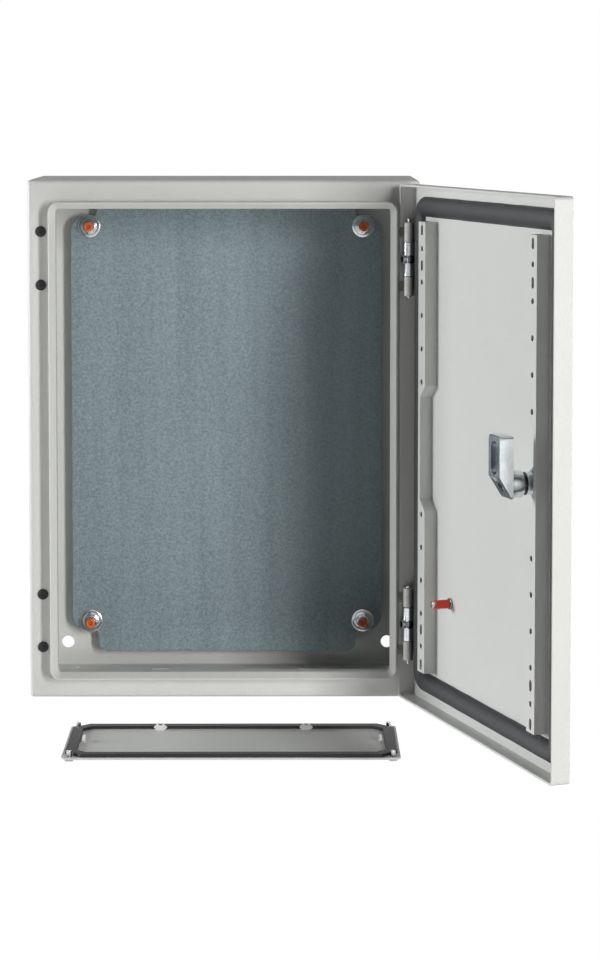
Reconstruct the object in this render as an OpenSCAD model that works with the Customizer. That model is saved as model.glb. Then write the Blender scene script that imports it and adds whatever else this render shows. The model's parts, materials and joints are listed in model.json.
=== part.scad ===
// Steel wall enclosure with a hinged door, a mounting plate and a loose cable gland plate.
// Origin: centre of the four wall holes, on the outer face of the rear wall.
// +X is the hinge side, +Y points at the wall, +Z is up.  Millimetres.

/* [Body] */
// Width of the body
body_w = 300; // [260:5:400]
// Height of the body
body_h = 400; // [380:5:600]
// Depth of the body, rear wall to front flange
body_d = 120; // [110:5:200]
// Sheet steel of the body
sheet_t = 1.5; // [1.2:0.1:1.8]
// Radius of the folded outer edges
edge_r = 3; // [2.5:0.5:4]

/* [Rain lip] */
// From the outer side of the body to the lip
lip_side = 17; // [15.5:0.5:18]
// From the top or the bottom of the body to the lip
lip_end = 16.5; // [15:0.5:18]
// Height of the lip in front of the flange
lip_h = 15; // [14:0.5:17]
// Flat crest of the lip
lip_crest = 1.2; // [1:0.1:1.6]
// Width of the sloped band inside the crest
band_w = 4.1; // [3.5:0.1:4.5]
// Fall of the sloped band
band_fall = 5.5; // [4.5:0.5:6]
// How far the return behind the band reaches back
return_d = 10; // [8:0.5:10]
// Outer corner radius of the lip
lip_r = 8; // [7.5:0.5:10]

/* [Wall fixing] */
// Diameter of the wall holes
wall_hole_d = 10; // [6:0.5:11]
// Wall holes from the edges of the body
wall_hole_in = 20; // [17:1:24]

/* [Mounting plate] */
// Gap between the plate and the body at each side
plate_side_gap = 25; // [23:1:30]
// Gap between the plate and the body at top and bottom
plate_end_gap = 15; // [12:1:20]
// Thickness of the plate
plate_t = 2; // [1.5:0.5:3]
// Stand-off between the rear wall and the plate
standoff = 11.5; // [8:0.5:20]
// Corner notch of the plate, across
notch_w = 21; // [18:1:24]
// Corner notch of the plate, upward
notch_h = 17; // [15:1:20]
// Radius where the plate side turns into the notch
notch_side_r = 12; // [8:1:13]
// Radius of the tab beside the notch
notch_tab_r = 6.5; // [4:0.5:8]
// Radius of the ear that carries the stud
notch_ear_r = 4; // [2:1:6]
// Studs from the side of the plate
stud_in_x = 15; // [14:0.5:17]
// Studs from the end of the plate
stud_in_z = 25; // [24:1:30]
// Diameter of the studs
stud_d = 6; // [5:1:8]
// Length of stud in front of the plate
stud_tip = 11.5; // [10:0.5:16]
// Diameter of the wide washers
washer_d = 18.4; // [16:0.2:20]
// Thickness of the wide washers
washer_t = 1.6; // [1:0.2:2]
// Flats of the nuts on the studs
nut_af = 10; // [9:0.5:13]
// Height of the nuts on the studs
nut_h = 5.4; // [4:0.2:7]
// Wall of the protective caps
cap_wall = 0.8; // [0.6:0.1:1.2]

/* [Door] */
// Gap between the door edge and the body edge
door_margin = 3; // [2.7:0.1:4]
// Sheet steel of the door
door_t = 1.5; // [1.2:0.1:1.8]
// Depth of the folded rim
rim_d = 13.2; // [12:0.2:14]
// Angle by which the door stands open
door_open = 108; // [90:1:118]
// Radius of the door corners
door_r = 3; // [2:0.5:4]

/* [Door seal] */
// Width of the foamed seal
seal_w = 15.5; // [13:0.5:16]
// Thickness of the foamed seal
seal_t = 5.5; // [4:0.5:6.5]
// Seal from the hinge or lock edge of the door
seal_in_side = 9.8; // [9.5:0.1:11]
// Seal from the top or bottom edge of the door
seal_in_end = 8.6; // [6:0.2:10]
// Outer corner radius of the seal
seal_r = 9; // [6:1:12]
// Gap between the seal and the lip with the door closed
seal_gap = 0.3; // [0.2:0.1:1]

/* [Door strips] */
// Width of the perforated strips
strip_w = 14; // [12:1:16]
// Height of the strips above the door skin
strip_h = 9.5; // [8:0.5:12]
// Sheet of the strips
strip_t = 1.2; // [1:0.1:1.5]
// Centre of the strips from the door edge
strip_in = 42; // [38:1:46]
// Free end of the strips from the top or bottom of the door
strip_end = 27; // [25:0.5:40]
// Depth of the waist in the strips
waist_w = 10; // [6:1:10.5]
// Half length of the narrow part of the waist
waist_v = 38.5; // [30:0.5:42]
// Length of each slanted step of the waist
waist_step = 8.5; // [6:0.5:10]
// Diameter of the round holes in the strips
strip_hole_d = 4.2; // [3:0.2:5]
// Pitch of the round holes in the strips
strip_pitch = 25; // [22:1:26]
// Last round hole from the end of a strip
strip_last = 20; // [18:0.5:24]
// Length of the slots in the strips
strip_slot = 8; // [6:0.5:10]
// Outer slot from the end of a strip
slot_end = 6; // [5.5:0.5:8]
// Inner slot from the end of a strip
slot_inner = 32.5; // [30:0.5:36]

/* [Hinges] */
// Centre of each hinge from the top or bottom of the body
hinge_in = 60; // [50:1:80]
// Spacing of the two knuckles of a hinge
knuckle_pitch = 41; // [38:1:50]
// Outer diameter of the knuckles
knuckle_d = 7.6; // [7:0.1:8]
// Length of a knuckle
knuckle_l = 14.6; // [12:0.2:16]
// Diameter of the hinge pin
pin_d = 4; // [3:0.2:4.6]
// Radial running fit of the pin
pin_fit = 0.05; // [0.02:0.01:0.1]
// End gap between a knuckle and the bracket
hinge_gap = 0.5; // [0.3:0.1:1]
// Gap between the knuckles and the rim
rim_gap = 0.3; // [0.3:0.1:0.6]
// Hinge axis behind the outer skin of the door
axis_w = 7.6; // [7:0.1:8.5]
// Thickness of the arm that carries a knuckle
arm_t = 3.5; // [2.5:0.1:3.6]
// Height of the arm that carries a knuckle
arm_h = 6; // [5:0.5:7]
// Diameter of the holes for hinges and plugs
flange_hole_d = 7.4; // [6.4:0.2:8]
// Holes for hinges and plugs from the side of the body
flange_hole_in = 10.4; // [10:0.1:11]
// Diameter of the window in the door bracket
window_d = 6.4; // [5:0.2:6.6]

/* [Lock] */
// Lock axis from the free edge of the door
lock_in = 51.2; // [50.8:0.1:53]
// Length of the cam from the lock axis
cam_reach = 34; // [30:1:36]
// Width of the cam
cam_w = 20; // [16:1:20]
// Thickness of the cam
cam_t = 10.2; // [8:0.2:12]
// Near side of the cam above the outer door skin
cam_lift = 24.4; // [24:0.2:26]
// Diameter of the hub under the cam
hub_d = 18.6; // [16:0.2:19]
// Length of the hub under the cam
hub_l = 8.9; // [6:0.1:9.4]
// Diameter of the lock barrel through the door
barrel_d = 16; // [15:0.5:18]
// Running clearance of the lock core
core_fit = 0.3; // [0.2:0.05:0.4]

/* [Earthing stud] */
// Earthing stud from the hinge edge of the door
earth_u = 79; // [70:1:90]
// Earthing stud from the bottom of the door
earth_end = 85; // [76:1:97]
// Length of the earthing stud
earth_l = 15.3; // [12:0.1:20]

/* [Gland plate] */
// Width of the gland plate
gland_w = 264; // [220:2:266]
// Depth of the gland plate
gland_d = 110; // [90:1:111]
// Thickness of the gland plate
gland_t = 1.5; // [1.5:0.1:3]
// Offset of the gland plate towards the hinges
gland_shift = 5; // [0:0.5:8]
// Centre of the gland plate behind the front flange
gland_back = 58; // [57:0.5:62]
// Width of the opening in the floor
gland_open_w = 226; // [150:2:228]
// Depth of the opening in the floor
gland_open_d = 62; // [40:1:64]
// Width of the flat seal
gseal_w = 9; // [7:0.5:10]
// Thickness of the flat seal
gseal_t = 2.5; // [2:0.5:4]
// How far the gland plate hangs below its seat
gland_drop = 46; // [30:1:80]

/* [Hidden] */
$fn = 48;
eps = 0.01;

// ---- colours ----
GREY = [0.83, 0.83, 0.82];
ZINC_SHEET = [0.52, 0.57, 0.6];
BRIGHT = [0.82, 0.84, 0.86];
CAST = [0.6, 0.6, 0.58];
BLACK = [0.13, 0.13, 0.14];
FOAM = [0.27, 0.28, 0.3];
ORANGE = [0.85, 0.35, 0.12];
RED = [0.75, 0.2, 0.1];
WHITE = [0.92, 0.92, 0.9];

// ---- body ----
front_y = -body_d;
lip_x = body_w / 2 - lip_side;
lip_z = body_h / 2 - lip_end;
bend_r = 0.8;
flange_x = body_w / 2 - flange_hole_in;
hinge_z = body_h / 2 - hinge_in;
band_len = norm([band_w, band_fall]);
band_ds = sheet_t * band_fall / band_len;
band_dh = sheet_t * band_w / band_len;
return_s = lip_crest + band_w;
return_h = lip_h - band_fall;
// height of the inner side of the band above the flange, at a distance s in from the lip
function band_in(s) = lip_h - band_dh - (s - lip_crest + band_ds) * band_fall / band_w;

// ---- mounting plate ----
plate_w = body_w - 2 * plate_side_gap;
plate_h = body_h - 2 * plate_end_gap;
plate_y = -sheet_t - standoff - plate_t;
stud_x = plate_w / 2 - stud_in_x;
stud_z = plate_h / 2 - stud_in_z;
stud_fit = 0.5;
collar_d = 12;
nut_flange_d = 14.2;
nut_flange_t = 1.4;
cap_top = 1.2;
cap_gap = 0.2;
cap_hole_d = 3;
nut_y = plate_y - washer_t;
cap_y = nut_y - nut_h;
cap_l = cap_y - plate_y + stud_tip + cap_gap + cap_top;

// ---- door, in its own frame: u from the hinge edge, v up, w inward from the outer skin ----
door_w = body_w - 2 * door_margin;
door_h = body_h - 2 * door_margin;
door_front = lip_h + seal_gap + seal_t + door_t;
axis_u = door_t + rim_gap + knuckle_d / 2;
hinge_x = door_w / 2 - axis_u;
hinge_y = front_y - door_front + axis_w;
seal_crown = 1.6;
notch_gap = 1;
notch_floor = 0.8;

// ---- hinges ----
bracket_l = knuckle_pitch - knuckle_l - 2 * hinge_gap;
bracket_r = axis_u - door_t;
web_t = 2;
foot_t = 1.8;
foot_u = seal_in_side - 0.3;
window_rim = 1.2;
window_boss = 1.4;
bolt_d = 6;
seat_d = 11;
seat_t = 1.2;
bolt_l = 7;
hinge_nut_h = 4;
hinge_nut_af = 10;
bscrew_d = 4;
bscrew_head = 5.6;
bscrew_head_t = 0.9;
dome_l = 2;
tip_d = 2.4;
tip_l = 3;
tip_cone = 0.5;

// ---- plugs ----
plug_fit = 0.1;
plug_rim = 0.5;
plug_edge = 0.3;
plug_dome = 1.1;
plug_barb = 2.6;
plug_dimple = 1.3;

// ---- strips ----
strip_v = door_h / 2 - strip_end;

// ---- lock ----
lock_u = door_w - lock_in;
bezel_d = 24;
bezel_t = 2.4;
barrel_end = 12.4;
core_d = 9;
lock_nut_af = 20;
lock_nut_t = 4.5;
cam_r = 3;
cam_nose = 0.7;
cam_sink = 1;
core_sink = 0.6;
core_seat = 3;
screw_grip = 9;
cam_elbow_v = 6;
cam_slot_w = 12;
cam_slot_l = 23;
cam_slot_d = 6.5;
cam_slot_top = 4;
cam_screw_d = 5;
cam_head_d = 8;
cam_head_t = 4;
core_head_d = 12;
key_d = 5;
key_wing = 9;
key_t = 2;
key_depth = 6;

// ---- earthing stud ----
earth_d = 5;
earth_collar_d = 8.6;
earth_collar_t = 1.4;
earth_cap_gap = 0.4;
earth_tip = 1.6;

// ---- gland plate ----
gland_y = front_y + gland_back;
gland_seat = -body_h / 2 - gseal_t;
gland_top = gland_seat - gland_drop;
gseal_in = 2;
gseal_cut = 13;
gland_r = 4;
gland_open_r = 8;
gland_screw_in = 6;
gscrew_d = 4;
gscrew_l = 6;
gscrew_head_d = 7;
gscrew_head_t = 2;
clip_out_x = 3.2;
clip_out_y = 3.2;
clip_spread = 59;
clip_w = 11;
clip_t = 2.4;
clip_h = 5.2;
clip_hole_gap = 1;

// ================= helpers =================

// flat rectangle with round corners, centred
module round_rect(w, h, r) {
    square([w - 2 * r, h], center = true);
    square([w, h - 2 * r], center = true);
    for (i = [-1, 1], j = [-1, 1])
        translate([i * (w / 2 - r), j * (h / 2 - r)])
            circle(r);
}

// extrudes a flat X-Z outline from y = a forward (towards -Y) by d
module along_y(a, d) {
    translate([0, a, 0])
        rotate([90, 0, 0])
            linear_extrude(d)
                children();
}

// carries a profile round a rectangle with round corners; the profile's x runs inward from
// the rectangle's edge and stays below r, and its y runs towards -Y from y = a
module frame_sweep(hx, hz, r, a) {
    for (q = [0 : 3]) {
        long = q % 2 == 0 ? hz : hx;
        out = q % 2 == 0 ? hx : hz;
        translate([0, a, 0])
            rotate([0, q * 90, 0]) {
                translate([out, 0, -(long - r)])
                    linear_extrude(2 * (long - r))
                        mirror([1, 0])
                            mirror([0, 1])
                                children();
                translate([out - r, 0, long - r])
                    rotate([90, 0, 0])
                        rotate_extrude(angle = 90, $fn = 64)
                            intersection() {
                                translate([r, 0])
                                    mirror([1, 0])
                                        children();
                                translate([0, -2 * body_d])
                                    square([r + 1, 4 * body_d]);
                            }
            }
    }
}

// copies a child to the four corners of a rectangle in X-Z
module four(x, z) {
    for (i = [-1, 1], j = [-1, 1])
        translate([i * x, 0, j * z])
            children();
}

// cylinder along -Y that starts at y = a
module rod_y(a, d, l) {
    translate([0, a, 0])
        rotate([90, 0, 0])
            cylinder(d = d, h = l);
}

// hexagon along -Y that starts at y = a, by its flats
module hex_y(a, af, l) {
    translate([0, a, 0])
        rotate([90, 0, 0])
            cylinder(d = af / cos(30), h = l, $fn = 6);
}

// places door-frame geometry in the body's frame at the open angle
module on_door() {
    translate([hinge_x, hinge_y, 0])
        rotate([0, 0, door_open])
            rotate([90, 0, 180])
                translate([-axis_u, 0, -axis_w])
                    children();
}

// ================= fixed body =================

module body_outline(inset) {
    round_rect(body_w - 2 * inset, body_h - 2 * inset, max(edge_r - inset, bend_r));
}

// section of the rain lip: wall, crest, sloped band and return
module lip_section() {
    polygon([
        [0, -sheet_t],
        [0, lip_h - bend_r],
        [bend_r * 0.3, lip_h - bend_r * 0.3],
        [bend_r, lip_h],
        [lip_crest, lip_h],
        [return_s, return_h],
        [return_s, return_h - return_d],
        [return_s - sheet_t, return_h - return_d],
        [return_s - sheet_t, band_in(return_s - sheet_t)],
        [sheet_t, band_in(sheet_t)],
        [sheet_t, -sheet_t]
    ]);
}

// quarter of a folded edge: the sheet between two arcs
module fold_section() {
    intersection() {
        difference() {
            circle(edge_r);
            circle(edge_r - sheet_t);
        }
        translate([-edge_r, 0])
            square(edge_r);
    }
}

// section of the sides: rear fold, wall and front fold
module side_section() {
    translate([0, edge_r])
        square([sheet_t, body_d - 2 * edge_r]);
    translate([edge_r, edge_r])
        mirror([0, 1])
            fold_section();
    translate([edge_r, body_d - edge_r])
        fold_section();
}

module clip_holes() {
    for (i = [-1, 1])
        translate([gland_shift + i * clip_spread, gland_y + gland_d / 2 - clip_in_y(), 0])
            cube([clip_w + 2 * clip_hole_gap, clip_t + 2 * clip_hole_gap, 4 * sheet_t], center = true);
    for (i = [-1, 1])
        translate([gland_shift + i * (gland_w / 2 - clip_in_x()), gland_y, 0])
            cube([clip_t + 2 * clip_hole_gap, clip_w + 2 * clip_hole_gap, 4 * sheet_t], center = true);
}

// distance of the clips from the edges of the gland plate
function clip_in_x() = gseal_in + gseal_w + clip_out_x;
function clip_in_y() = gseal_in + gseal_w + clip_out_y;

module body_shell() {
    color(GREY) {
        difference() {
            union() {
                frame_sweep(body_w / 2, body_h / 2, edge_r, 0)
                    side_section();
                along_y(sheet_t - body_d, sheet_t)
                    body_outline(edge_r);
            }
            along_y(0, 2 * body_d)
                round_rect(2 * lip_x, 2 * lip_z, lip_r);
            four(flange_x, hinge_z + knuckle_pitch / 2)
                rod_y(front_y + 3 * sheet_t, flange_hole_d, 6 * sheet_t);
            four(flange_x, hinge_z - knuckle_pitch / 2)
                rod_y(front_y + 3 * sheet_t, flange_hole_d, 6 * sheet_t);
            translate([gland_shift, gland_y, -body_h / 2 - sheet_t])
                linear_extrude(3 * sheet_t)
                    round_rect(gland_open_w, gland_open_d, gland_open_r);
            translate([0, 0, -body_h / 2])
                clip_holes();
            translate([gland_shift, gland_y, -body_h / 2])
                at_gland_screws()
                    cylinder(d = gscrew_d + 2 * pin_fit, h = 4 * sheet_t, center = true);
        }
        frame_sweep(lip_x, lip_z, lip_r, front_y)
            lip_section();
    }
}

module rear_wall() {
    color(GREY)
        difference() {
            along_y(0, sheet_t)
                body_outline(edge_r);
            four(body_w / 2 - wall_hole_in, body_h / 2 - wall_hole_in)
                rod_y(sheet_t, wall_hole_d, 3 * sheet_t);
        }
}

// one quarter of the plate outline, towards +X +Z, with its notch
module plate_corner() {
    x1 = plate_w / 2;
    z1 = plate_h / 2;
    difference() {
        square([x1, z1]);
        translate([x1 - notch_w, z1 - notch_h])
            square([notch_w + 1, notch_h + 1]);
        translate([x1 - notch_w - notch_tab_r, z1 - notch_tab_r])
            difference() {
                square(notch_tab_r + 1);
                circle(notch_tab_r);
            }
        translate([x1 - notch_side_r, z1 - notch_h - notch_side_r])
            difference() {
                square(notch_side_r + 1);
                circle(notch_side_r);
            }
    }
    // fillet in the root of the notch
    translate([x1 - notch_w, z1 - notch_h])
        difference() {
            square(notch_ear_r);
            translate([notch_ear_r, notch_ear_r])
                circle(notch_ear_r);
        }
}

module mounting_plate() {
    color(ZINC_SHEET)
        difference() {
            along_y(plate_y + plate_t, plate_t)
                for (i = [0, 1], j = [0, 1])
                    mirror([i, 0])
                        mirror([0, j])
                            plate_corner();
            four(stud_x, stud_z)
                rod_y(0, stud_d + 2 * stud_fit, body_d);
        }
}

module plate_studs() {
    color(BRIGHT)
        four(stud_x, stud_z) {
            rod_y(-sheet_t, collar_d, standoff);
            rod_y(-sheet_t, stud_d, standoff + plate_t + stud_tip);
        }
}

module plate_washers() {
    color(BRIGHT)
        four(stud_x, stud_z)
            difference() {
                rod_y(plate_y, washer_d, washer_t);
                rod_y(plate_y + 1, stud_d, washer_t + 2);
            }
}

module plate_nuts() {
    color(BRIGHT)
        four(stud_x, stud_z)
            difference() {
                union() {
                    rod_y(nut_y, nut_flange_d, nut_flange_t);
                    hex_y(nut_y, nut_af, nut_h);
                }
                rod_y(nut_y + 1, stud_d, nut_h + 2);
            }
}

module stud_caps() {
    color(ORANGE)
        four(stud_x, stud_z)
            difference() {
                rod_y(cap_y, stud_d + 2 * cap_wall, cap_l);
                rod_y(cap_y + 1, stud_d, cap_l - cap_top + 1);
                rod_y(cap_y, cap_hole_d, 2 * cap_l);
            }
}

// domed plug with a small recess, for the unused hinge holes
module hole_plug() {
    stem_r = flange_hole_d / 2 - plug_fit;
    head_r = flange_hole_d / 2 + plug_rim;
    rotate([90, 0, 0])
        rotate_extrude()
            polygon(concat(
                [[0, -sheet_t - plug_barb], [stem_r * 0.8, -sheet_t - plug_barb],
                 [stem_r + plug_fit, -sheet_t - plug_barb * 0.2], [stem_r, -sheet_t], [stem_r, 0]],
                [for (k = [0 : 6])
                    let (a = k * 12)
                    [head_r - 2 * plug_dome * (1 - cos(a)), plug_edge + plug_dome * sin(a)]],
                [[plug_dimple, plug_edge + plug_dome], [0, plug_edge + plug_dome * 0.3]]
            ));
}

module hole_plugs() {
    color(BLACK)
        for (j = [-1, 1], k = [-1, 1])
            translate([-flange_x, front_y, j * hinge_z + k * knuckle_pitch / 2])
                hole_plug();
}

// ================= hinges =================

// fixed knuckle: barrel on the hinge axis, arm, seat and threaded end through the flange
module hinge_knuckle() {
    difference() {
        union() {
            translate([hinge_x, hinge_y, -knuckle_l / 2])
                cylinder(d = knuckle_d, h = knuckle_l);
            translate([hinge_x - arm_t / 2, hinge_y, -arm_h / 2])
                cube([arm_t, front_y - hinge_y - seat_t / 2, arm_h]);
            translate([flange_x, 0, 0]) {
                rod_y(front_y, seat_d, seat_t);
                rod_y(front_y + sheet_t, flange_hole_d - 2 * plug_fit, sheet_t + eps);
                rod_y(front_y + sheet_t + bolt_l, bolt_d, bolt_l + eps);
            }
        }
        translate([hinge_x, hinge_y, -knuckle_l])
            cylinder(d = pin_d + 2 * pin_fit, h = 2 * knuckle_l);
    }
}

module hinge_knuckles(side) {
    color(CAST)
        for (k = [-1, 1])
            translate([0, 0, side * hinge_z + k * knuckle_pitch / 2])
                hinge_knuckle();
}

module upper_hinge_knuckles() {
    hinge_knuckles(1);
}

module lower_hinge_knuckles() {
    hinge_knuckles(-1);
}

module hinge_nuts() {
    color(BRIGHT)
        for (j = [-1, 1], k = [-1, 1])
            translate([flange_x, 0, j * hinge_z + k * knuckle_pitch / 2])
                difference() {
                    hex_y(front_y + sheet_t + hinge_nut_h, hinge_nut_af, hinge_nut_h);
                    rod_y(front_y + sheet_t + 2 * hinge_nut_h, bolt_d, 3 * hinge_nut_h);
                }
}

// hinge pin: domed inner end, slim tip at the outer end
module hinge_pin(side) {
    half = knuckle_pitch / 2 + knuckle_l / 2;
    color(BRIGHT)
        translate([hinge_x, hinge_y, side * hinge_z])
            mirror([0, 0, side > 0 ? 0 : 1])
                rotate_extrude()
                    polygon(concat(
                        [[0, half + tip_l], [tip_d / 2, half + tip_l], [tip_d / 2, half + tip_cone],
                         [pin_d / 2, half]],
                        [for (k = [0 : 6])
                            [pin_d / 2 * cos(k * 15), -half - tip_cone - (dome_l - tip_cone) * sin(k * 15)]]
                    ));
}

module upper_hinge_pin() {
    hinge_pin(1);
}

module lower_hinge_pin() {
    hinge_pin(-1);
}

// door bracket: tube on the axis, two webs to a foot on the skin, and a round window
module hinge_bracket(side) {
    color(BRIGHT)
        on_door()
            translate([0, side * hinge_z, 0])
                difference() {
                    union() {
                        translate([axis_u, bracket_l / 2, axis_w])
                            rotate([90, 0, 0])
                                cylinder(r = bracket_r, h = bracket_l);
                        translate([door_t, -bracket_l / 2, door_t])
                            cube([web_t, bracket_l, axis_w - door_t]);
                        translate([axis_u + bracket_r - web_t, -bracket_l / 2, door_t])
                            cube([web_t, bracket_l, axis_w - door_t]);
                        translate([door_t, -bracket_l / 2, door_t])
                            cube([foot_u - door_t, bracket_l, foot_t]);
                        translate([axis_u, 0, axis_w])
                            cylinder(d = window_d + window_rim, h = bracket_r + window_boss);
                    }
                    translate([axis_u, bracket_l, axis_w])
                        rotate([90, 0, 0])
                            cylinder(d = pin_d + 2 * pin_fit, h = 2 * bracket_l);
                    translate([door_t + web_t, 0, axis_w])
                        rotate([0, 90, 0])
                            cylinder(d = window_d, h = 2 * bracket_r);
                    translate([axis_u, 0, axis_w])
                        cylinder(d = window_d - 2, h = 2 * bracket_r);
                    translate([0, 0, axis_w])
                        rotate([0, 90, 0])
                            cylinder(d = bscrew_d, h = 2 * axis_u);
                    translate([door_t + web_t - bscrew_head_t, 0, axis_w])
                        rotate([0, 90, 0])
                            cylinder(d = bscrew_head, h = bscrew_head_t + eps);
                }
}

module upper_hinge_bracket() {
    hinge_bracket(1);
}

module lower_hinge_bracket() {
    hinge_bracket(-1);
}

// flat-headed screws through the window of each bracket into the rim
module bracket_screws() {
    color(BRIGHT)
        on_door()
            for (side = [-1, 1])
                translate([0, side * hinge_z, axis_w])
                    rotate([0, 90, 0]) {
                        translate([0, 0, pin_fit])
                            cylinder(d = bscrew_d - 2 * pin_fit, h = door_t + web_t - bscrew_head_t);
                        translate([0, 0, door_t + web_t - bscrew_head_t])
                            difference() {
                                cylinder(d = bscrew_head - 2 * pin_fit, h = bscrew_head_t - pin_fit);
                                translate([0, 0, bscrew_head_t / 2])
                                    cylinder(d = bscrew_head / 2, h = bscrew_head_t, $fn = 6);
                            }
                    }
}

// ================= door =================

module door_panel() {
    notch_v = arm_h + 2 * notch_gap;
    color(GREY)
        on_door()
            difference() {
                translate([door_w / 2, 0, 0])
                    linear_extrude(rim_d)
                        round_rect(door_w, door_h, door_r);
                translate([door_w / 2, 0, door_t])
                    linear_extrude(rim_d)
                        round_rect(door_w - 2 * door_t, door_h - 2 * door_t, door_r - door_t / 2);
                for (j = [-1, 1], k = [-1, 1])
                    translate([-1, j * hinge_z + k * knuckle_pitch / 2 - notch_v / 2, door_t + notch_floor])
                        cube([door_t + 2, notch_v, rim_d]);
                for (j = [-1, 1])
                    translate([-1, j * hinge_z, axis_w])
                        rotate([0, 90, 0])
                            cylinder(d = bscrew_d, h = door_t + 2);
                translate([lock_u, 0, -1])
                    cylinder(d = barrel_d + 2 * pin_fit, h = door_t + 2);
            }
}

// crowned section of the foamed seal
module seal_section() {
    polygon(concat(
        [[0, 0]],
        [for (k = [0 : 12])
            let (a = 180 - k * 15)
            [seal_w / 2 + seal_w / 2 * cos(a), seal_t - seal_crown + seal_crown * sin(a)]],
        [[seal_w, 0]]
    ));
}

// a profile carried round a rectangle with round corners, on the door skin
module skin_sweep(hu, hv, r, wide) {
    translate([door_w / 2, 0, door_t]) {
        for (q = [0 : 3]) {
            long = q % 2 == 0 ? hv : hu;
            out = q % 2 == 0 ? hu : hv;
            rotate([0, 0, q * 90]) {
                translate([out, long - corner_r(r, wide), 0])
                    rotate([90, 0, 0])
                        linear_extrude(2 * (long - corner_r(r, wide)))
                            mirror([1, 0])
                                children();
                translate([out - corner_r(r, wide), long - corner_r(r, wide), 0])
                    rotate_extrude(angle = 90, $fn = 64)
                        translate([corner_r(r, wide), 0])
                            mirror([1, 0])
                                children();
            }
        }
    }
}

// the sweep's corner radius: at least the width of the profile plus a little
function corner_r(r, wide) = max(r, wide + 0.5);

module door_seal() {
    color(FOAM)
        on_door()
            skin_sweep(door_w / 2 - seal_in_side, door_h / 2 - seal_in_end, seal_r, seal_w)
                seal_section();
}

// outline of a perforated strip with its waist on the +u side
module strip_outline(inset) {
    a = strip_w / 2 - inset;
    b = strip_w / 2 - waist_w - inset;
    v0 = waist_v;
    v1 = waist_v + waist_step;
    end = strip_v + (inset > 0 ? 1 : 0);
    polygon([
        [-a, -end], [a, -end], [a, -v1], [b, -v0], [b, v0], [a, v1], [a, end], [-a, end]
    ]);
}

module strip_slot_cut(v) {
    straight = strip_slot - strip_hole_d;
    for (k = [-1, 1])
        translate([0, v + k * straight / 2, 0])
            cylinder(d = strip_hole_d, h = 3 * strip_h, center = true);
    translate([-strip_hole_d / 2, v - straight / 2, 0])
        cube([strip_hole_d, straight, 3 * strip_h]);
}

module strip() {
    difference() {
        linear_extrude(strip_h)
            strip_outline(0);
        translate([0, 0, -1])
            linear_extrude(strip_h - strip_t + 1)
                strip_outline(strip_t);
        for (j = [-1, 1]) {
            for (v = [2 * strip_pitch : strip_pitch : strip_v - strip_last + eps])
                translate([0, j * v, 0])
                    cylinder(d = strip_hole_d, h = 3 * strip_h);
            for (in = [slot_end, slot_inner])
                strip_slot_cut(j * (strip_v - in));
        }
    }
}

module hinge_side_strip() {
    color(GREY)
        on_door()
            translate([strip_in, 0, door_t])
                strip();
}

module lock_side_strip() {
    color(GREY)
        on_door()
            translate([door_w - strip_in, 0, door_t])
                mirror([1, 0, 0])
                    strip();
}

module door_earth_stud() {
    color(BRIGHT)
        on_door()
            translate([earth_u, earth_end - door_h / 2, door_t]) {
                cylinder(d = earth_d, h = earth_l);
                cylinder(d = earth_collar_d, h = earth_collar_t);
            }
}

module earth_stud_cap() {
    color(RED)
        on_door()
            translate([earth_u, earth_end - door_h / 2, door_t + earth_collar_t + earth_cap_gap])
                difference() {
                    cylinder(d = earth_d + 2 * cap_wall, h = earth_l - earth_collar_t - earth_cap_gap - earth_tip);
                    translate([0, 0, -1])
                        cylinder(d = earth_d, h = 2 * earth_l);
                }
}

// ================= lock =================

module lock_housing() {
    color(BRIGHT)
        on_door()
            translate([lock_u, 0, 0])
                difference() {
                    union() {
                        translate([0, 0, -bezel_t])
                            cylinder(d1 = bezel_d - 2, d2 = bezel_d, h = bezel_t);
                        cylinder(d = barrel_d, h = barrel_end);
                    }
                    translate([0, 0, key_depth - bezel_t])
                        cylinder(d = core_d + 2 * core_fit, h = 2 * barrel_end);
                    translate([0, 0, -bezel_t - 1])
                        cylinder(d = core_head_d + 2 * core_fit, h = key_depth + 1 + core_fit);
                }
}

module lock_nut() {
    color(BRIGHT)
        on_door()
            translate([lock_u, 0, door_t])
                difference() {
                    rotate([0, 0, 30])
                        cylinder(d = lock_nut_af / cos(30), h = lock_nut_t, $fn = 6);
                    translate([0, 0, -1])
                        cylinder(d = barrel_d, h = 2 * lock_nut_t);
                }
}

// turning core: key recess outside, round shaft, square-cornered drive behind
module lock_core() {
    head_top = core_sink - bezel_t;
    hub_w = cam_lift - hub_l;
    color(BRIGHT)
        on_door()
            translate([lock_u, 0, 0]) {
                difference() {
                    translate([0, 0, head_top])
                        cylinder(d = core_head_d, h = key_depth - core_sink);
                    difference() {
                        translate([0, 0, head_top - 1])
                            cylinder(d = key_wing, h = key_depth - 2 * core_sink);
                        translate([0, 0, head_top - 2])
                            cylinder(d = key_d, h = key_depth + 2);
                        translate([-key_wing, -key_t / 2, head_top - 2])
                            cube([2 * key_wing, key_t, key_depth + 2]);
                    }
                }
                difference() {
                    translate([0, 0, key_depth - bezel_t - eps])
                        cylinder(d = core_d, h = hub_w + core_seat - key_depth + bezel_t);
                    translate([0, 0, hub_w + core_seat - screw_grip])
                        cylinder(d = cam_screw_d, h = 2 * screw_grip);
                }
            }
}

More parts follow.
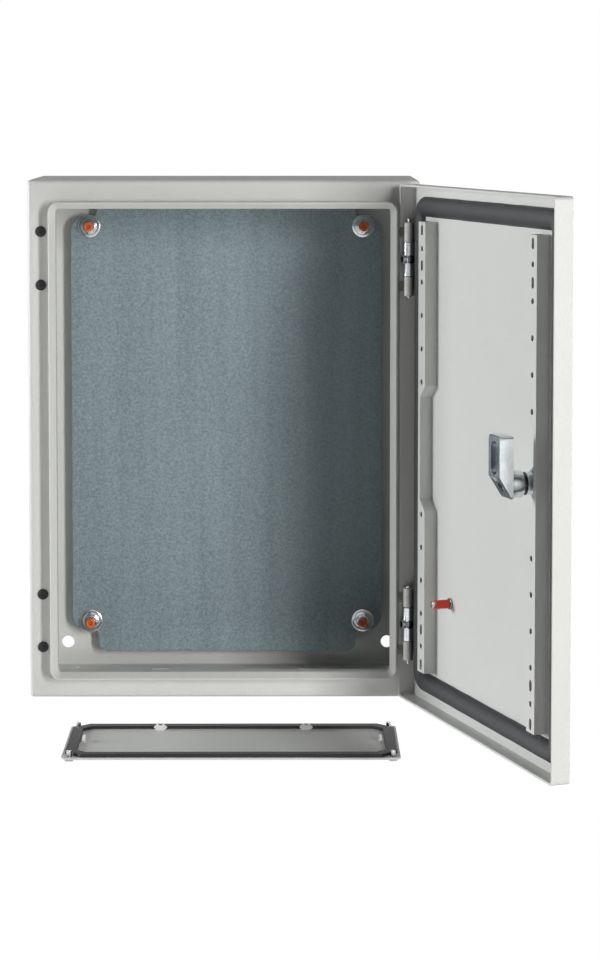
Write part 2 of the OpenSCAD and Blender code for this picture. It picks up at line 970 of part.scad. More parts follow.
// cranked cam: hub, sloped elbow and upright arm with two recesses
module lock_cam() {
    top_w = cam_lift + cam_t;
    hub_w = cam_lift - hub_l;
    hub_r = hub_d / 2;
    color(BRIGHT)
        on_door()
            translate([lock_u, 0, 0])
                difference() {
                    union() {
                        translate([0, 0, hub_w])
                            cylinder(d = hub_d, h = hub_l + eps);
                        intersection() {
                            translate([-cam_w / 2, 0, 0])
                                rotate([90, 0, 90])
                                    linear_extrude(cam_w)
                                        polygon([
                                            [-hub_r, cam_lift], [-hub_r, cam_lift + cam_nose],
                                            [cam_elbow_v, top_w], [cam_reach - cam_nose, top_w],
                                            [cam_reach, top_w - cam_nose], [cam_reach, cam_lift]
                                        ]);
                            linear_extrude(2 * top_w) {
                                translate([0, cam_reach / 2 - cam_w / 4])
                                    round_rect(cam_w, cam_reach + cam_w / 2, cam_r);
                                circle(cam_w / 2);
                            }
                        }
                    }
                    // long recess in the arm
                    translate([0, cam_reach - cam_slot_top - cam_slot_l, top_w - cam_slot_d])
                        linear_extrude(2 * cam_slot_d) {
                            translate([-cam_slot_w / 2, cam_slot_w / 2])
                                square([cam_slot_w, cam_slot_l - cam_slot_w]);
                            translate([0, cam_slot_w / 2])
                                circle(d = cam_slot_w);
                            translate([0, cam_slot_l - cam_slot_w / 2])
                                circle(d = cam_slot_w);
                        }
                    // counterbore and hole for the screw, socket for the core
                    translate([0, 0, cam_lift - cam_sink])
                        cylinder(d = cam_head_d + 1, h = 2 * cam_t);
                    translate([0, 0, hub_w])
                        cylinder(d = cam_screw_d + 2 * core_fit, h = cam_lift);
                    translate([0, 0, hub_w - 1])
                        cylinder(d = core_d + 2 * pin_fit, h = core_seat + pin_fit + 1);
                }
}

module cam_screw() {
    hub_w = cam_lift - hub_l;
    color(CAST)
        on_door()
            translate([lock_u, 0, 0])
                difference() {
                    union() {
                        translate([0, 0, cam_lift - cam_sink])
                            cylinder(d = cam_head_d, h = cam_head_t);
                        translate([0, 0, hub_w + core_seat - screw_grip + pin_fit])
                            cylinder(d = cam_screw_d, h = hub_l - cam_sink - core_seat + screw_grip);
                    }
                    translate([0, 0, cam_lift - cam_sink + cam_head_t / 2])
                        cylinder(d = cam_head_d / 2 / cos(30), h = cam_head_t, $fn = 6);
                }
}

// ================= gland plate =================

module gland_place() {
    translate([gland_shift, gland_y, gland_top])
        children();
}

module at_gland_screws() {
    for (i = [-1, 1], j = [-1, 1])
        translate([i * (gland_w / 2 - gland_screw_in), j * (gland_d / 2 - gland_screw_in), 0])
            children();
}

module gland_plate() {
    color(GREY)
        gland_place()
            difference() {
                translate([0, 0, -gland_t])
                    linear_extrude(gland_t)
                        round_rect(gland_w, gland_d, gland_r);
                at_gland_screws()
                    cylinder(d = gscrew_d + 2 * pin_fit, h = 4 * gland_t, center = true);
            }
}

// rectangle with cut corners
module cut_rect(w, d, c) {
    x = w / 2;
    y = d / 2;
    polygon([
        [x - c, -y], [x, c - y], [x, y - c], [x - c, y],
        [c - x, y], [-x, y - c], [-x, c - y], [c - x, -y]
    ]);
}

module gland_seal() {
    w = gland_w - 2 * gseal_in;
    d = gland_d - 2 * gseal_in;
    color(BLACK)
        gland_place()
            linear_extrude(gseal_t)
                difference() {
                    cut_rect(w, d, gseal_cut);
                    cut_rect(w - 2 * gseal_w, d - 2 * gseal_w, gseal_cut - gseal_w * (2 - sqrt(2)));
                }
}

// snap clip with two barbed teeth
module gland_clip() {
    translate([0, clip_t / 2, 0])
        rotate([90, 0, 0])
            linear_extrude(clip_t)
                polygon([
                    [-clip_w * 0.3, 0], [clip_w * 0.3, 0], [clip_w / 2, clip_h * 0.42],
                    [clip_w * 0.22, clip_h], [0, clip_h * 0.66], [-clip_w * 0.22, clip_h],
                    [-clip_w / 2, clip_h * 0.42]
                ]);
}

module gland_clips() {
    color(WHITE)
        gland_place() {
            for (i = [-1, 1])
                translate([i * clip_spread, gland_d / 2 - clip_in_y(), 0])
                    gland_clip();
            for (i = [-1, 1])
                translate([i * (gland_w / 2 - clip_in_x()), 0, 0])
                    rotate([0, 0, 90])
                        gland_clip();
        }
}

module gland_screws() {
    color(BRIGHT)
        gland_place()
            at_gland_screws()
                translate([0, 0, -gland_t]) {
                    translate([0, 0, -gscrew_head_t])
                        difference() {
                            cylinder(d = gscrew_head_d, h = gscrew_head_t);
                            translate([0, 0, -gscrew_head_t / 2])
                                cylinder(d = gscrew_head_d / 2, h = gscrew_head_t, $fn = 6);
                        }
                    cylinder(d = gscrew_d, h = gscrew_l);
                }
}

body_shell();
rear_wall();
mounting_plate();
plate_studs();
plate_washers();
plate_nuts();
stud_caps();
hole_plugs();
upper_hinge_knuckles();
lower_hinge_knuckles();
hinge_nuts();
upper_hinge_pin();
lower_hinge_pin();
door_panel();
door_seal();
hinge_side_strip();
lock_side_strip();
upper_hinge_bracket();
lower_hinge_bracket();
bracket_screws();
door_earth_stud();
earth_stud_cap();
lock_housing();
lock_nut();
lock_core();
lock_cam();
cam_screw();
gland_plate();
gland_seal();
gland_clips();
gland_screws();
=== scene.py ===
import json
import math

import bmesh
import bpy
import numpy as np
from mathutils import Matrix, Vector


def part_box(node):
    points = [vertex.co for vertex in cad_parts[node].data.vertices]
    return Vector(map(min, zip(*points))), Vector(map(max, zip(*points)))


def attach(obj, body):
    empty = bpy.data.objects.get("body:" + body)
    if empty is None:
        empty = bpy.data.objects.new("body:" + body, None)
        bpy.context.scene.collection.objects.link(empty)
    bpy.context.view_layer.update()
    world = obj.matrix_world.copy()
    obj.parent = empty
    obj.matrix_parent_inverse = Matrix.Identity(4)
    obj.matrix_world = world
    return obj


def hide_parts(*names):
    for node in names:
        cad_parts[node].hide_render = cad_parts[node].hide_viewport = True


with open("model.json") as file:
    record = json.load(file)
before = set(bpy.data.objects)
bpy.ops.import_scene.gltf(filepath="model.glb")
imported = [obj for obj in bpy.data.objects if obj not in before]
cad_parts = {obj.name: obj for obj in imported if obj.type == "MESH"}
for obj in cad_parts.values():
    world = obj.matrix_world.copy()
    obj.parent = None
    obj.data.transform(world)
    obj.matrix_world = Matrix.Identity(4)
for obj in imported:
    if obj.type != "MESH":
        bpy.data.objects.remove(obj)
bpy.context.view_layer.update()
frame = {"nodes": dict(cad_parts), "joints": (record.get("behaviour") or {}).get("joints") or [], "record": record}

MM = 0.001
# the point of the box that the lamps face
AIM = np.array([0.0, -0.1, 0.0])
NODES = frame["nodes"]
SLOT = {part["node"]: part["material_slot"] for part in frame["record"]["subparts"]}
BODIES = frame["record"]["behaviour"]["bodies"]
BODY = {node: body for body, nodes in BODIES.items() for node in nodes}
SWING = next(joint for joint in frame["joints"] if joint["name"] == "door_swing")
HINGE = np.array(SWING["pos_m"])
OPEN = -math.radians(SWING["range_deg"][0])


# ---------------------------------------------------------------- camera, lights and stage

def make_camera():
    """A long lens in front of the open box, a little above it and to the right, looking down."""
    down, turn = 0.0673, -0.0045
    data = bpy.data.cameras.new("camera")
    data.lens = 102.42
    data.sensor_width = 36.0
    data.shift_y = -0.2
    data.clip_end = 60.0
    camera = bpy.data.objects.new("camera", data)
    camera.location = (0.0492, -2.2067, 0.2578)
    camera.rotation_euler = (math.pi / 2 - down, 0.0, turn)
    bpy.context.collection.objects.link(camera)
    bpy.context.scene.camera = camera


def polar(turn, tilt, distance):
    """A point at a distance from the aim: turn degrees to the right of the front, tilt degrees up."""
    turn, tilt = math.radians(turn), math.radians(tilt)
    flat = distance * math.cos(tilt)
    step = np.array([flat * math.sin(turn), -flat * math.cos(turn), distance * math.sin(tilt)])
    return AIM + step


def make_softbox(name, place, size, share, tint):
    """A rectangular lamp that faces the aim; share is the part of full exposure that it gives.

    A power of pi^2 * distance^2 * share lights a facing surface at that share of its colour."""
    data = bpy.data.lights.new(name, "AREA")
    data.shape = "RECTANGLE"
    data.size, data.size_y = size
    way = AIM - place
    data.energy = math.pi ** 2 * float(way @ way) * share
    data.color = tint
    lamp = bpy.data.objects.new(name, data)
    lamp.location = place
    tilt = math.atan2(math.hypot(way[0], way[1]), -way[2])
    turn = math.atan2(way[1], way[0]) - math.pi / 2
    lamp.rotation_euler = (tilt, 0.0, turn)
    bpy.context.collection.objects.link(lamp)


def make_world(diffuse, glossy):
    """Faint light from all round; the eye sees white, and mirrors see a studio with contrast:
    grey below, dark at eye level and bright above."""
    below, above = (0.35, 0.35, 0.35, 1.0), (1.0, 1.0, 1.0, 1.0)
    between = ((0.42, 0.08), (0.51, 0.25), (0.6, 0.95))
    world = bpy.data.worlds.new("studio")
    bpy.context.scene.world = world
    world.use_nodes = True
    tree = world.node_tree
    tree.nodes.clear()
    place = tree.nodes.new("ShaderNodeTexCoord").outputs["Generated"]
    split = tree.nodes.new("ShaderNodeSeparateXYZ")
    tree.links.new(place, split.inputs[0])
    ramp = tree.nodes.new("ShaderNodeValToRGB")
    ramp.color_ramp.elements[0].color = below
    ramp.color_ramp.elements[1].color = above
    for position, tone in between:
        ramp.color_ramp.elements.new(position).color = (tone, tone, tone, 1.0)
    height = math_node(tree, "MULTIPLY", math_node(tree, "ADD", split.outputs["Z"], 1.0), 0.5)
    tree.links.new(height, ramp.inputs[0])
    path = tree.nodes.new("ShaderNodeLightPath")
    sky = None
    for ray, strength in ((None, diffuse), ("Is Glossy Ray", glossy), ("Is Camera Ray", 1.0)):
        layer = tree.nodes.new("ShaderNodeBackground")
        layer.inputs["Color"].default_value = (1.0, 1.0, 1.0, 1.0)
        layer.inputs["Strength"].default_value = strength
        if ray == "Is Glossy Ray":
            tree.links.new(ramp.outputs["Color"], layer.inputs["Color"])
        if sky is None:
            sky = layer.outputs[0]
            continue
        mix = tree.nodes.new("ShaderNodeMixShader")
        tree.links.new(path.outputs[ray], mix.inputs[0])
        tree.links.new(sky, mix.inputs[1])
        tree.links.new(layer.outputs[0], mix.inputs[2])
        sky = mix.outputs[0]
    out = tree.nodes.new("ShaderNodeOutputWorld")
    tree.links.new(sky, out.inputs[0])


def stage_material():
    """White to the eye and to mirrors, with a faint share of real shading for the shadow."""
    glow_share, glow_strength, grey = 0.93, 1.07, 0.85
    material = bpy.data.materials.new("studio_white")
    material.use_nodes = True
    tree = material.node_tree
    tree.nodes.clear()
    out = tree.nodes.new("ShaderNodeOutputMaterial")
    diffuse = tree.nodes.new("ShaderNodeBsdfDiffuse")
    diffuse.inputs["Color"].default_value = (grey, grey, grey, 1.0)
    glow = tree.nodes.new("ShaderNodeEmission")
    glow.inputs["Strength"].default_value = glow_strength
    path = tree.nodes.new("ShaderNodeLightPath")
    direct = path.outputs["Is Camera Ray"]
    for ray in ("Is Glossy Ray", "Is Transmission Ray"):
        direct = math_node(tree, "MAXIMUM", direct, path.outputs[ray])
    mix = tree.nodes.new("ShaderNodeMixShader")
    tree.links.new(math_node(tree, "MULTIPLY", direct, glow_share), mix.inputs[0])
    tree.links.new(diffuse.outputs[0], mix.inputs[1])
    tree.links.new(glow.outputs[0], mix.inputs[2])
    tree.links.new(mix.outputs[0], out.inputs[0])
    return material


def make_stage():
    """A wide pale floor well under the box."""
    drop, reach = -0.62, 12.0
    corners = [(x * reach, y * reach, drop) for x, y in ((-1, -1), (1, -1), (1, 1), (-1, 1))]
    mesh = bpy.data.meshes.new("floor")
    mesh.from_pydata(corners, [], [(0, 1, 2, 3)])
    mesh.materials.append(stage_material())
    floor = bpy.data.objects.new("floor", mesh)
    bpy.context.collection.objects.link(floor)


# ---------------------------------------------------------------- shader groups

def math_node(tree, operation, a, b):
    """A Math node; a and b are sockets or numbers."""
    node = tree.nodes.new("ShaderNodeMath")
    node.operation = operation
    for socket, value in zip(node.inputs, (a, b)):
        if isinstance(value, bpy.types.NodeSocket):
            tree.links.new(value, socket)
        else:
            socket.default_value = value
    return node.outputs[0]


def new_group(name, inputs, outputs):
    """A shader group: float inputs with their values, and outputs, of which Normal is a vector."""
    group = bpy.data.node_groups.new(name, "ShaderNodeTree")
    for label in outputs:
        kind = "NodeSocketVector" if label == "Normal" else "NodeSocketFloat"
        group.interface.new_socket(label, in_out="OUTPUT", socket_type=kind)
    for label, value in inputs.items():
        socket = group.interface.new_socket(label, in_out="INPUT", socket_type="NodeSocketFloat")
        socket.default_value = value
    given = group.nodes.new("NodeGroupInput").outputs
    out = group.nodes.new("NodeGroupOutput").inputs
    return group, given, out


def noise(tree, scale, detail, rough=0.55, stretch=None):
    """Noise on Object coordinates, stretched along an axis where stretch gives its factors."""
    place = tree.nodes.new("ShaderNodeTexCoord").outputs["Object"]
    if stretch:
        mapping = tree.nodes.new("ShaderNodeMapping")
        mapping.inputs["Scale"].default_value = stretch
        tree.links.new(place, mapping.inputs["Vector"])
        place = mapping.outputs[0]
    node = tree.nodes.new("ShaderNodeTexNoise")
    node.inputs["Detail"].default_value = detail
    node.inputs["Roughness"].default_value = rough
    tree.links.new(place, node.inputs["Vector"])
    if isinstance(scale, bpy.types.NodeSocket):
        tree.links.new(scale, node.inputs["Scale"])
    else:
        node.inputs["Scale"].default_value = scale
    return node.outputs["Fac"]


def contrast(tree, value, gain):
    """The value drawn apart around one half: (value - 0.5) gain + 0.5."""
    return math_node(tree, "ADD", math_node(tree, "MULTIPLY", value, gain), 0.5 - 0.5 * gain)


# inputs of the grain group and their values where a material sets none
GRAIN_SOCKETS = {"Grain Scale": 900.0, "Grain Height": 0.1, "Cloud Scale": 14.0, "Cloud Amount": 0.3}


def grain_group():
    """Fine bumps and a faint cloudiness: Normal, and Clouds around one half."""
    group, given, out = new_group("surface_grain", GRAIN_SOCKETS, ["Normal", "Clouds"])
    fine = noise(group, given["Grain Scale"], 2.0)
    cloud = noise(group, given["Cloud Scale"], 3.0)
    bump = group.nodes.new("ShaderNodeBump")
    bump.inputs["Distance"].default_value = MM
    group.links.new(given["Grain Height"], bump.inputs["Strength"])
    group.links.new(fine, bump.inputs["Height"])
    centred = math_node(group, "SUBTRACT", cloud, 0.5)
    swing = math_node(group, "MULTIPLY", centred, given["Cloud Amount"])
    group.links.new(math_node(group, "ADD", swing, 0.5), out["Clouds"])
    group.links.new(bump.outputs["Normal"], out["Normal"])
    return group


def painted_crevice_shade_group():
    """Painted shade: a Mask that is 1 on open faces and falls towards 0 in recesses, faster with more Depth."""
    reach, rays = 5 * MM, 8
    group, given, out = new_group("painted_crevice_shade", {"Depth": 1.5}, ["Mask"])
    cover = group.nodes.new("ShaderNodeAmbientOcclusion")
    cover.inputs["Distance"].default_value = reach
    cover.samples = rays
    group.links.new(math_node(group, "POWER", cover.outputs["AO"], given["Depth"]), out["Mask"])
    return group


GRAIN = grain_group()
PAINTED_CREVICE_SHADE = painted_crevice_shade_group()


# ---------------------------------------------------------------- materials

def start_material(name, rough, metal, grain, clouds):
    """A Principled material with the grain group on its Normal.

    grain is the scale and height of the bumps, clouds the scale and amount of the cloudiness."""
    material = bpy.data.materials.new(name)
    material.use_nodes = True
    tree = material.node_tree
    shader = tree.nodes["Principled BSDF"]
    shader.inputs["Roughness"].default_value = rough
    shader.inputs["Metallic"].default_value = metal
    texture = tree.nodes.new("ShaderNodeGroup")
    texture.node_tree = GRAIN
    for label, value in zip(GRAIN_SOCKETS, (*grain, *clouds)):
        texture.inputs[label].default_value = value
    tree.links.new(texture.outputs["Normal"], shader.inputs["Normal"])
    return material, tree, shader, texture.outputs["Clouds"]


def mix_colours(tree, factor, dark, light):
    """A colour between dark and light, by a factor socket; light is a colour or a socket."""
    node = tree.nodes.new("ShaderNodeMix")
    node.data_type = "RGBA"
    node.inputs["A"].default_value = (*dark, 1.0)
    if isinstance(light, bpy.types.NodeSocket):
        tree.links.new(light, node.inputs["B"])
    else:
        node.inputs["B"].default_value = (*light, 1.0)
    tree.links.new(factor, node.inputs["Factor"])
    return node.outputs["Result"]


def clouded_finish(name, colour, spread, rough, metal, grain, clouds, recess=None):
    """A colour that clouds make darker and lighter by the spread, under fine bumps.

    With a recess value, the depth of painted shade, narrow recesses get painted shade, nearly black, the darker
    the higher it is."""
    shadow = (0.02, 0.022, 0.024)
    material, tree, shader, cloud = start_material(name, rough, metal, grain, clouds)
    dark = [c * (1.0 - spread) for c in colour]
    light = [min(c * (1.0 + spread), 1.0) for c in colour]
    base = mix_colours(tree, cloud, dark, light)
    # painted shade: an ambient occlusion mask darkens recesses towards a near-black shadow colour
    if recess:
        shade = tree.nodes.new("ShaderNodeGroup")
        shade.node_tree = PAINTED_CREVICE_SHADE
        shade.inputs["Depth"].default_value = recess
        base = mix_colours(tree, shade.outputs["Mask"], shadow, base)
    tree.links.new(base, shader.inputs["Base Color"])
    return material


def galvanised_finish():
    """Dull blue-grey zinc: fine mottling, upright streaks and soft clouds, duller where light."""
    mottle_share, streak_share, cloud_share = 0.55, 0.25, 0.2
    dark, light = (0.11, 0.145, 0.16), (0.34, 0.43, 0.46)
    least_rough, rough_spread = 0.4, 0.2
    material, tree, shader, cloud = start_material("galvanised_zinc", 0.5, 0.1, (700.0, 0.08), (9.0, 0.6))
    mottle = contrast(tree, noise(tree, 620.0, 3.0, 0.7), 3.0)
    streak = contrast(tree, noise(tree, 1.0, 3.0, 0.5, (90.0, 90.0, 5.0)), 1.6)
    mixed = math_node(tree, "MULTIPLY", mottle, mottle_share)
    mixed = math_node(tree, "ADD", mixed, math_node(tree, "MULTIPLY", streak, streak_share))
    mixed = math_node(tree, "ADD", mixed, math_node(tree, "MULTIPLY", cloud, cloud_share))
    tree.links.new(mix_colours(tree, mixed, dark, light), shader.inputs["Base Color"])
    rough = math_node(tree, "ADD", math_node(tree, "MULTIPLY", mottle, rough_spread), least_rough)
    tree.links.new(rough, shader.inputs["Roughness"])
    return material


# name, colour, spread, roughness, metallic, grain (scale, height), clouds (scale, amount), recess: depth of
# painted shade in recesses
MATERIALS = {
    "grey_powder_coat": clouded_finish(
        "powder_coat", (0.70, 0.705, 0.685), 0.03, 0.42, 0.0, (800.0, 0.3), (12.0, 1.0)),
    "galvanised_sheet": galvanised_finish(),
    "bright_zinc": clouded_finish(
        "zinc_plate", (0.70, 0.73, 0.76), 0.15, 0.18, 1.0, (500.0, 0.03), (160.0, 2.0), 1.8),
    "matt_cast_zinc": clouded_finish(
        "cast_zinc", (0.62, 0.62, 0.59), 0.12, 0.45, 0.25, (1500.0, 0.3), (300.0, 2.0), 1.4),
    "foamed_seal": clouded_finish(
        "foam", (0.026, 0.027, 0.031), 0.4, 0.5, 0.0, (1100.0, 0.6), (600.0, 2.0)),
    "flat_rubber": clouded_finish(
        "rubber", (0.010, 0.010, 0.011), 0.2, 0.45, 0.0, (1300.0, 0.15), (200.0, 1.5)),
    "black_plastic": clouded_finish(
        "black_cap", (0.006, 0.006, 0.007), 0.1, 0.6, 0.0, (900.0, 0.05), (200.0, 1.0)),
    "orange_plastic": clouded_finish(
        "orange_cap", (0.86, 0.15, 0.02), 0.15, 0.35, 0.0, (900.0, 0.1), (500.0, 2.0), 2.5),
    "red_plastic": clouded_finish(
        "red_cap", (0.74, 0.035, 0.010), 0.15, 0.35, 0.0, (900.0, 0.1), (400.0, 2.0)),
    "white_plastic": clouded_finish(
        "white_clip", (0.84, 0.84, 0.82), 0.04, 0.35, 0.0, (900.0, 0.05), (400.0, 1.0)),
}


# ---------------------------------------------------------------- mesh helpers

# points nearer than this are one point, in metres
SAME_POINT = 1e-6
# faces that meet at more degrees than this keep a sharp edge
CREASE = 35.0


def swung(points, angle):
    """Points turned about the door's hinge axis by an angle."""
    cos, sin = math.cos(angle), math.sin(angle)
    turn = np.array([[cos, -sin, 0], [sin, cos, 0], [0, 0, 1]])
    return (np.asarray(points) - HINGE) @ turn.T + HINGE


def shut_box(node):
    """Lowest and highest corner of a node on the door, with the door shut."""
    count = len(NODES[node].data.vertices)
    points = np.zeros(count * 3)
    NODES[node].data.vertices.foreach_get("co", points)
    points = swung(points.reshape(-1, 3), -OPEN)
    return points.min(0), points.max(0)


def grid_faces(rows, columns, start=0):
    """Quads of a grid closed both ways: vertex = start + row * columns + column."""
    row, column = np.meshgrid(np.arange(rows), np.arange(columns), indexing="ij")
    down, right = (row + 1) % rows, (column + 1) % columns
    corners = ((row, column), (down, column), (down, right), (row, right))
    quads = [along * columns + across for along, across in corners]
    return start + np.stack(quads, -1).reshape(-1, 4)


def add_piece(name, grids, node, crease=CREASE, on_door=False):
    """A piece from closed grids, each rows x columns x 3, that stands for a CAD node.

    Points on the door are given with the door shut and are swung open here."""
    faces, start = [], 0
    for grid in grids:
        faces.append(grid_faces(grid.shape[0], grid.shape[1], start))
        start += grid.shape[0] * grid.shape[1]
    points = np.concatenate([grid.reshape(-1, 3) for grid in grids])
    if on_door:
        points = swung(points, OPEN)
    mesh = bpy.data.meshes.new(name)
    mesh.from_pydata(points.tolist(), [], np.concatenate(faces).tolist())
    work = bmesh.new()
    work.from_mesh(mesh)
    bmesh.ops.remove_doubles(work, verts=work.verts, dist=SAME_POINT)
    bmesh.ops.recalc_face_normals(work, faces=work.faces)
    work.to_mesh(mesh)
    work.free()
    finish_piece(name, mesh, node, crease)


def finish_piece(name, mesh, node, crease):
    """Links a mesh as the piece that stands for a node, on its body and with its finish."""
    mesh.materials.clear()
    mesh.materials.append(MATERIALS[SLOT[node]])
    mesh.shade_smooth()
    mesh.set_sharp_from_angle(angle=math.radians(crease))
    piece = bpy.data.objects.new(name, mesh)
    bpy.context.collection.objects.link(piece)
    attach(piece, BODY[node])
    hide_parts(node)
    return piece


def soften(node, width):
    """A copy of a CAD node with its triangles joined, its flat faces whole and its edges round.

    width is that of the round edge in millimetres."""
    same_point, flat_angle, edge_angle, steps = 3e-6, 0.6, 40.0, 2
    mesh = bpy.data.meshes.new(node + "_round")
    work = bmesh.new()
    work.from_mesh(NODES[node].data)
    bmesh.ops.remove_doubles(work, verts=work.verts, dist=same_point)
    bmesh.ops.dissolve_limit(
        work, angle_limit=math.radians(flat_angle), verts=work.verts, edges=work.edges
    )
    work.to_mesh(mesh)
    work.free()
    piece = finish_piece(node + "_round", mesh, node, CREASE)
    bevel = piece.modifiers.new("round_edges", "BEVEL")
    bevel.width = width * MM
    bevel.segments = steps
    bevel.limit_method = "ANGLE"
    bevel.angle_limit = math.radians(edge_angle)
    bevel.harden_normals = True


def lathe(profile, steps=64, squeeze=None):
    """Grid of a turned shape about Y: radius r and reach h give (r cos a, -h, r sin a).

    The profile holds radius and reach in millimetres, from the foot round to the foot again.
    squeeze(angle, radius, reach) may change the radius, such as to a hexagon."""
    angle = np.linspace(0, 2 * math.pi, steps, endpoint=False)[:, None]
    radius, reach = (np.asarray(profile) * MM).T[:, None, :]
    radius = np.broadcast_to(radius, (steps, len(profile)))
    if squeeze:
        radius = squeeze(angle, radius, reach)
    reach = np.broadcast_to(reach, radius.shape)
    return np.stack([radius * np.cos(angle), -reach, radius * np.sin(angle)], -1)


def round_loop(half_x, half_z, radius, arc_steps=10, side_steps=40):
    """Points and outward directions round a rectangle with round corners, in X and Z.

    A corner is centre + radius * (cos a, sin a); a side is divided evenly."""
    points, outs = [], []
    signs = ((1, 1), (-1, 1), (-1, -1), (1, -1))
    for quarter, (sx, sz) in enumerate(signs):
        turn = (quarter + np.linspace(0, 1, arc_steps)) * math.pi / 2
        out = np.stack([np.cos(turn), np.sin(turn)], -1)
        centre = np.array([sx * (half_x - radius), sz * (half_z - radius)])
        nx, nz = signs[(quarter + 1) % 4]
        after = np.array([nx * (half_x - radius), nz * (half_z - radius)]) + radius * out[-1]
        share = np.linspace(0, 1, side_steps + 1, endpoint=False)[1:, None]
        points += [centre + radius * out, (centre + radius * out[-1]) * (1 - share) + after * share]
        outs += [out, np.repeat(out[-1:], side_steps, 0)]
    return np.concatenate(points), np.concatenate(outs)


# ---------------------------------------------------------------- pieces

def make_door_seal():
    """Poured foam bead: height H (1 - (2 x - 1) ^ 2) ^ 0.55 at a share x of its width.

    A point lies at loop point - depth * outward direction, and depth and height waver slowly."""
    low, high = shut_box("door_seal")
    width, corner = 15.5 * MM, 16.0 * MM
    inset, play, fullness = 0.15 * MM, 0.12 * MM, 0.55
    waves, wave_offset = (17, 29, 43), 1.7
    tall = high[1] - low[1]
    middle = (low + high) / 2
    loop, outs = round_loop((high[0] - low[0]) / 2, (high[2] - low[2]) / 2, corner)
    loop += middle[[0, 2]]
    steps = np.linalg.norm(np.diff(loop, axis=0), axis=1)
    along = np.concatenate([[0], np.cumsum(steps)])[:, None]
    share = along / (along[-1] + np.linalg.norm(loop[0] - loop[-1]))
    waver = sum(np.sin(2 * math.pi * k * share + wave_offset * k) for k in waves) / len(waves)
    across = np.linspace(0, math.pi, 19)[None, :]
    x = (1 - np.cos(across)) / 2
    crown = np.maximum(1 - np.abs(2 * x - 1) ** 2, 0) ** fullness
    depth = x * (width - 2 * inset) + inset + play * waver
    rise = crown * (tall - inset + play * waver)
    flat = loop[:, None, :] - depth[..., None] * outs[:, None, :]
    # with the door shut its skin lies on the low side of Y, so the bead rises towards +Y
    grid = np.stack([flat[..., 0], low[1] + rise, flat[..., 1]], -1)
    add_piece("foam_bead", [grid], "door_seal", 60.0, True)


# outer radius of a stud cap, in millimetres
CAP_RADIUS = 3.8


def stud_places():
    """The four stud axes, from the box of the caps and their radius."""
    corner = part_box("stud_caps")[1]
    x, z = corner[0] - CAP_RADIUS * MM, corner[2] - CAP_RADIUS * MM
    return [np.array([i * x, 0.0, j * z]) for i in (-1, 1) for j in (-1, 1)]


def on_studs(grid, back):
    """Copies of a grid on the four studs, with its foot at back."""
    return [grid + place + [0, back, 0] for place in stud_places()]


def make_washers():
    """Wide pressed washers with rolled edges."""
    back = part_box("plate_washers")[1][1]
    profile = [(3.2, 0), (8.9, 0), (9.15, 0.2), (9.2, 0.5), (9.15, 1.25),
               (8.9, 1.5), (8.5, 1.6), (3.6, 1.6), (3.2, 1.3)]
    add_piece("wide_washers", on_studs(lathe(profile, 72), back), "plate_washers")


def hexagon(flats, collar):
    """Squeezes radii beyond a reach to a hexagon: r = flats / 2 / cos(a mod 60 - 30 degrees)."""
    def squeeze(angle, radius, reach):
        wedge = np.mod(angle, math.pi / 3) - math.pi / 6
        flat = flats * MM / 2 / np.cos(wedge)
        return np.where(reach > collar * MM, np.minimum(radius, flat), radius)
    return squeeze


def make_nuts():
    """Flange nuts: a turned collar under a hexagon whose top is cut by a cone."""
    flats, collar = 10.0, 1.4
    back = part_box("plate_nuts")[1][1]
    profile = [(3.1, 0), (7.1, 0), (7.1, 0.6), (6.7, 0.95), (6.0, 1.35), (6.0, 1.5), (6.0, 4.6),
               (5.6, 4.95), (5.0, 5.3), (4.6, 5.4), (3.7, 5.4), (3.1, 4.9)]
    grid = lathe(profile, 96, hexagon(flats, collar))
    add_piece("flange_nuts", on_studs(grid, back), "plate_nuts", 30.0)


def make_caps():
    """Soft caps over the studs: a tube with three shallow flutes and a round recess in its end.

    A flute takes 0.35 (cos(3 a + 0.6) - 0.7) / 0.3 mm from the radius where that is positive."""
    low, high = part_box("stud_caps")
    tall = (high[1] - low[1]) / MM
    bore, flute_deep, flute_turn, flute_edge = 3.2, 0.35, 0.6, 0.7

    def flute(angle, radius, reach):
        wave = np.clip(np.cos(3 * angle + flute_turn) - flute_edge, 0, None)
        dip = flute_deep * MM * wave / (1 - flute_edge)
        return radius - np.where(radius > 3.1 * MM, dip, 0)

    profile = [(bore, 0), (CAP_RADIUS, 0), (CAP_RADIUS, tall - 0.9), (3.65, tall - 0.4),
               (3.3, tall - 0.1), (2.6, tall), (1.8, tall - 0.1), (1.5, tall - 0.4),
               (1.4, tall - 0.75), (0.02, tall - 0.8), (0.02, tall - 0.9), (bore, tall - 0.9)]
    add_piece("soft_caps", on_studs(lathe(profile, 60, flute), high[1]), "stud_caps", 50.0)


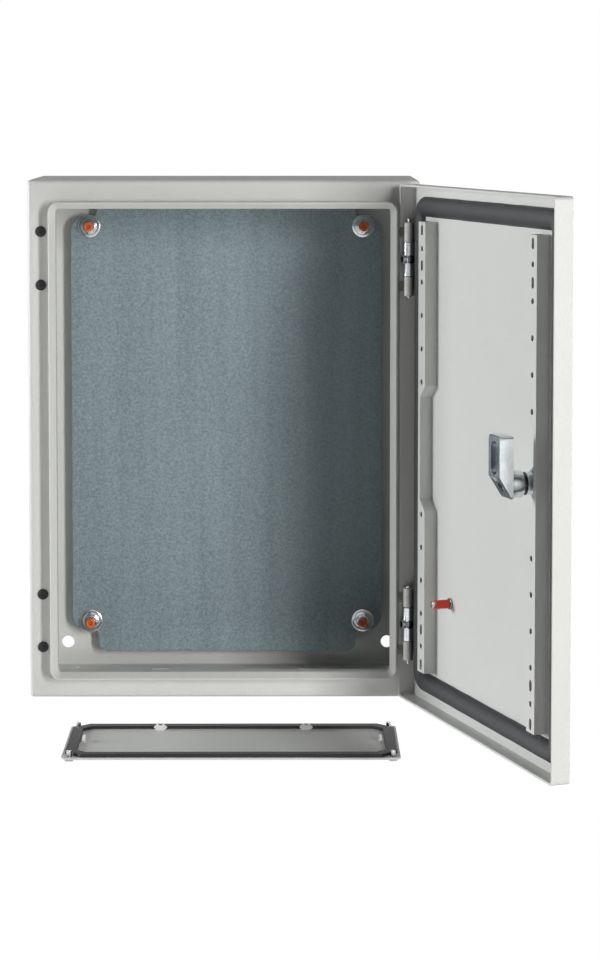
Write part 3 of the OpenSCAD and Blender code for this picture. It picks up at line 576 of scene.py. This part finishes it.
def make_earth_cap():
    """Red sleeve on the earthing stud: a tube whose free end is cut at a slight slant.

    Beyond 0.4 of its length, reach = reach * (1 - 0.05 (1 + height / radius))."""
    low, high = shut_box("earth_stud_cap")
    middle = (low + high) / 2
    tall = (high[1] - low[1]) / MM
    outer = (high[0] - low[0]) / MM / 2
    wall, slant_start, slant_depth = 0.8, 0.4, 0.05
    profile = [(outer - wall, 0), (outer, 0), (outer, 0.4), (outer, tall * 0.5),
               (outer, tall - 0.2), (outer - 0.25, tall), (outer - 0.6, tall), (outer - wall, tall - 0.3)]
    grid = lathe(profile, 48)
    slant = 1 - slant_depth * (1 + grid[..., 2:3] / (outer * MM))
    reach = -grid[..., 1:2]
    grid[..., 1:2] = np.where(reach > tall * slant_start * MM, reach * slant, reach)
    place = [middle[0], low[1], middle[2]]
    add_piece("slant_sleeve", [grid + place], "earth_stud_cap", 40.0, True)


def dress_nodes():
    """Gives every CAD node the material of its slot."""
    for node, thing in NODES.items():
        thing.data.materials.clear()
        thing.data.materials.append(MATERIALS[SLOT[node]])


# width of the round edge on each CAD node that is shown by a softened copy, in millimetres
ROUND_EDGES = {
    "lock_cam": 0.7, "lock_housing": 0.4, "lock_core": 0.15, "lock_nut": 0.4, "cam_screw": 0.3,
    "upper_hinge_knuckles": 0.25, "lower_hinge_knuckles": 0.25,
    "upper_hinge_bracket": 0.25, "lower_hinge_bracket": 0.25,
    "hinge_side_strip": 0.45, "lock_side_strip": 0.45,
    "gland_plate": 0.4, "gland_clips": 0.3, "gland_screws": 0.3,
    "mounting_plate": 0.3, "door_earth_stud": 0.25, "hinge_nuts": 0.3,
    "gland_seal": 0.6, "body_shell": 0.3,
}

make_camera()
make_world(0.01, 0.8)
make_softbox("key", polar(27, 8, 2.3), (0.28, 1.0), 0.66, (1.0, 0.995, 0.985))
make_softbox("fill", polar(-91, 8, 2.3), (0.8, 0.8), 0.88, (0.985, 1.0, 1.0))
make_stage()
bpy.context.scene.view_settings.view_transform = "Standard"

dress_nodes()
make_door_seal()
make_washers()
make_nuts()
make_caps()
make_earth_cap()
for node, width in ROUND_EDGES.items():
    soften(node, width)
